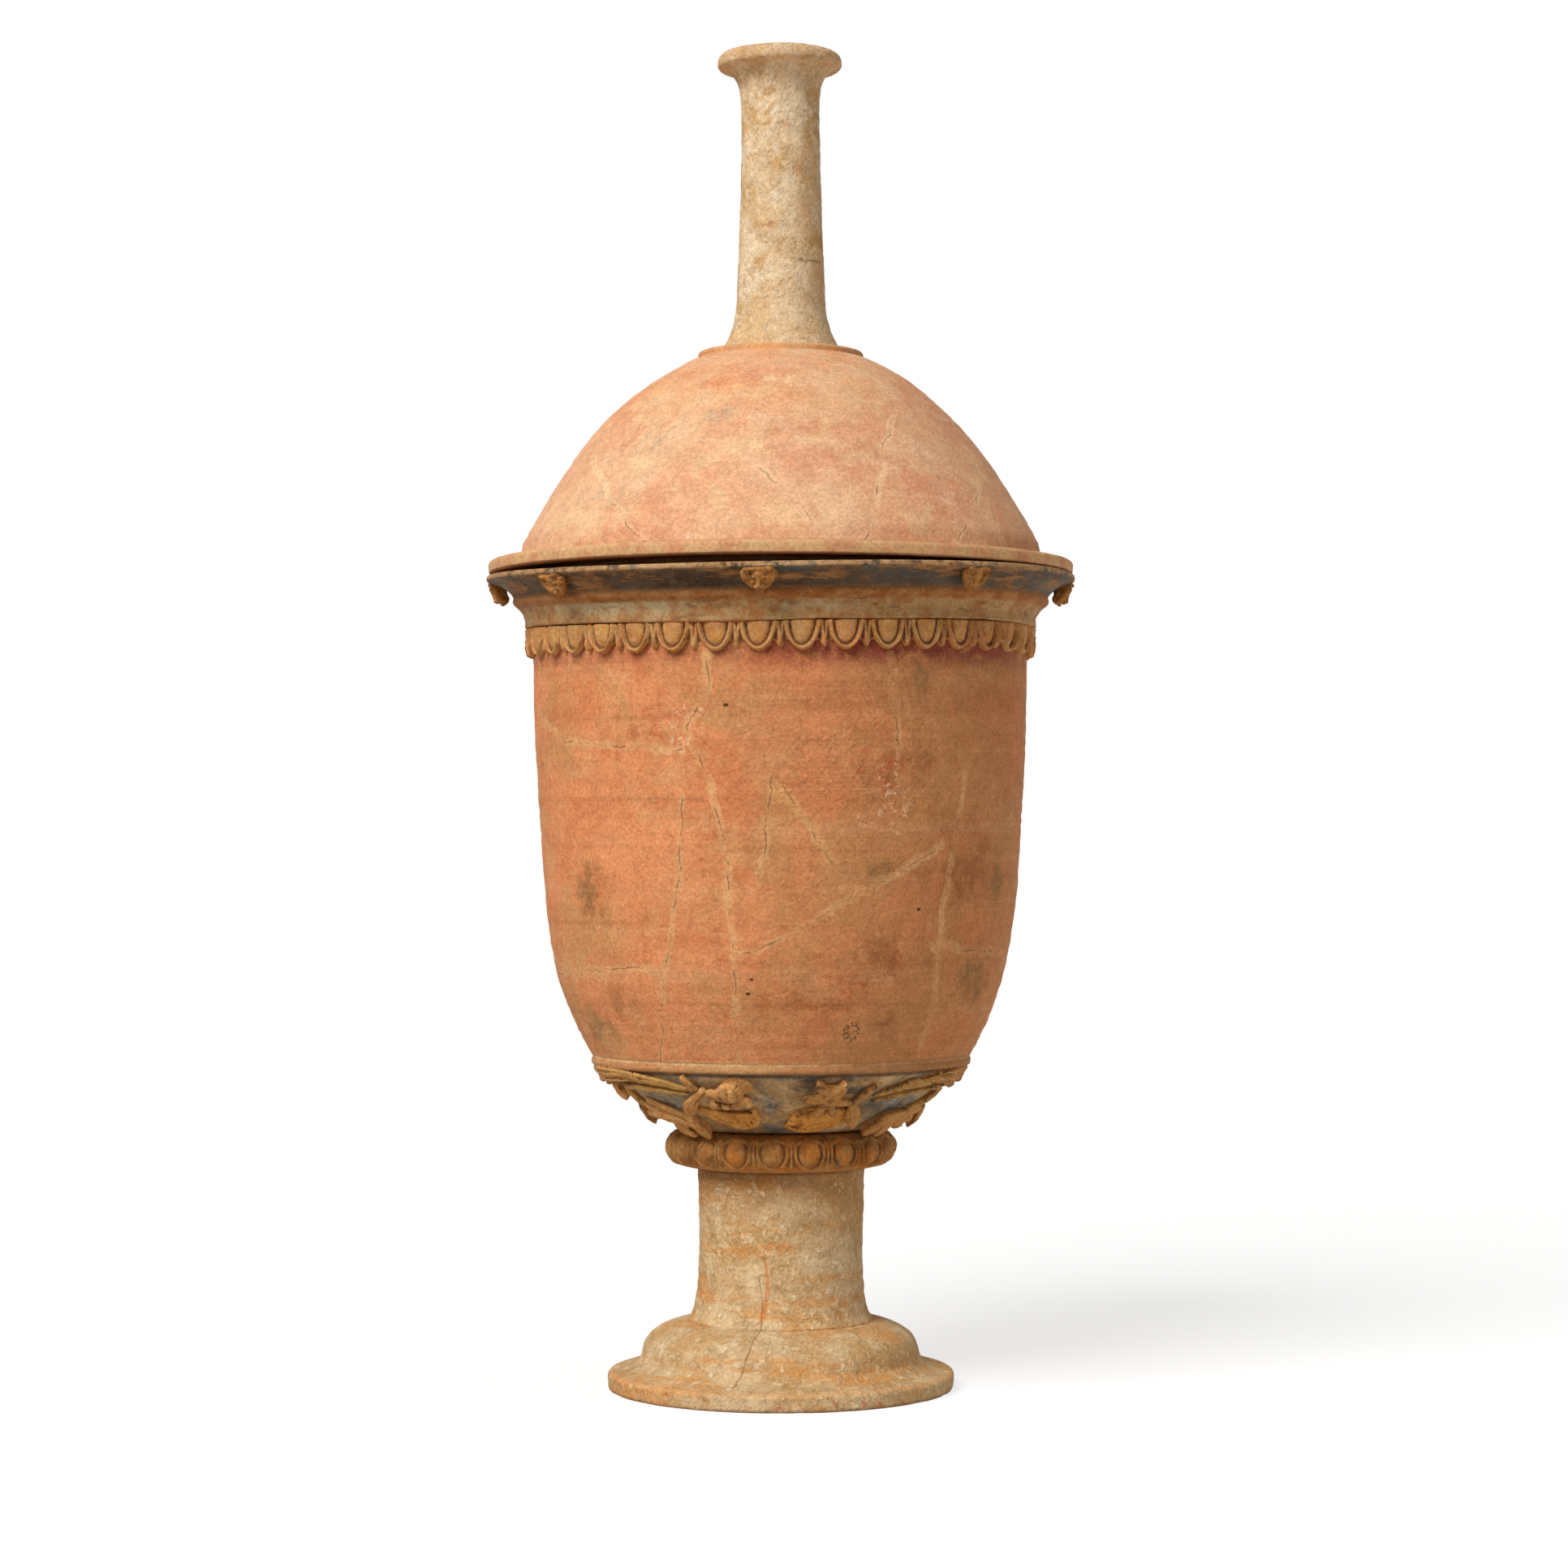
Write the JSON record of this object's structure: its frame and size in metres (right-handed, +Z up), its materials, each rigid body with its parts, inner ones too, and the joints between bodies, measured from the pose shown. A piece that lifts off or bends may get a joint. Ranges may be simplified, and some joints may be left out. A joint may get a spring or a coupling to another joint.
{
  "type": "covered pyxis",
  "caption": "Tall terracotta pyxis on a stemmed foot, with a domed lid, tube finial, moulded egg bands and applied reliefs.",
  "frame": {"origin": "centre of the foot's underside, on the surface that it stands on", "axes": "+Z up along the axis of the vessel, front towards -Y, +X to the right as seen from the front"},
  "size_m": [0.3044, 0.3043, 0.6901],
  "materials": {
    "cream_slip": "matte",
    "salmon_clay": "matte",
    "rose_clay": "matte",
    "ochre_relief": "matte"
  },
  "bodies": {
    "vessel": {"foot": "cream_slip", "stem": "cream_slip", "bowl": "salmon_clay", "egg_band": "ochre_relief", "stem_egg_ring": "ochre_relief", "lion_head_1": "ochre_relief", "lion_head_2": "ochre_relief", "lion_head_3": "ochre_relief", "lion_head_4": "ochre_relief", "lion_head_5": "ochre_relief", "lion_head_6": "ochre_relief", "lion_head_7": "ochre_relief", "lion_head_8": "ochre_relief", "front_right_flower": "ochre_relief", "front_right_drop_petal": "ochre_relief", "front_right_boat_leaf": "ochre_relief", "front_right_small_leaf": "ochre_relief", "front_right_calyx_sheath": "ochre_relief", "front_right_upper_stem": "ochre_relief", "front_right_lower_stem": "ochre_relief", "front_right_lower_flower": "ochre_relief", "front_right_leaf_tip": "ochre_relief", "front_left_flower": "ochre_relief", "front_left_drop_petal": "ochre_relief", "front_left_boat_leaf": "ochre_relief", "front_left_small_leaf": "ochre_relief", "front_left_calyx_sheath": "ochre_relief", "front_left_upper_stem": "ochre_relief", "front_left_lower_stem": "ochre_relief", "front_left_lower_flower": "ochre_relief", "front_left_leaf_tip": "ochre_relief", "back_right_flower": "ochre_relief", "back_right_drop_petal": "ochre_relief", "back_right_boat_leaf": "ochre_relief", "back_right_small_leaf": "ochre_relief", "back_right_calyx_sheath": "ochre_relief", "back_right_upper_stem": "ochre_relief", "back_right_lower_stem": "ochre_relief", "back_right_lower_flower": "ochre_relief", "back_right_leaf_tip": "ochre_relief", "back_left_flower": "ochre_relief", "back_left_drop_petal": "ochre_relief", "back_left_boat_leaf": "ochre_relief", "back_left_small_leaf": "ochre_relief", "back_left_calyx_sheath": "ochre_relief", "back_left_upper_stem": "ochre_relief", "back_left_lower_stem": "ochre_relief", "back_left_lower_flower": "ochre_relief", "back_left_leaf_tip": "ochre_relief", "right_knob": "ochre_relief", "left_knob": "ochre_relief"},
    "lid": {"lid": "rose_clay", "finial": "cream_slip"}
  },
  "joints": [
    {"name": "lid_lift", "type": "slide", "parent": "vessel", "child": "lid", "axis": [0, 0, 1], "range_m": [0, 0.25]}
  ]
}
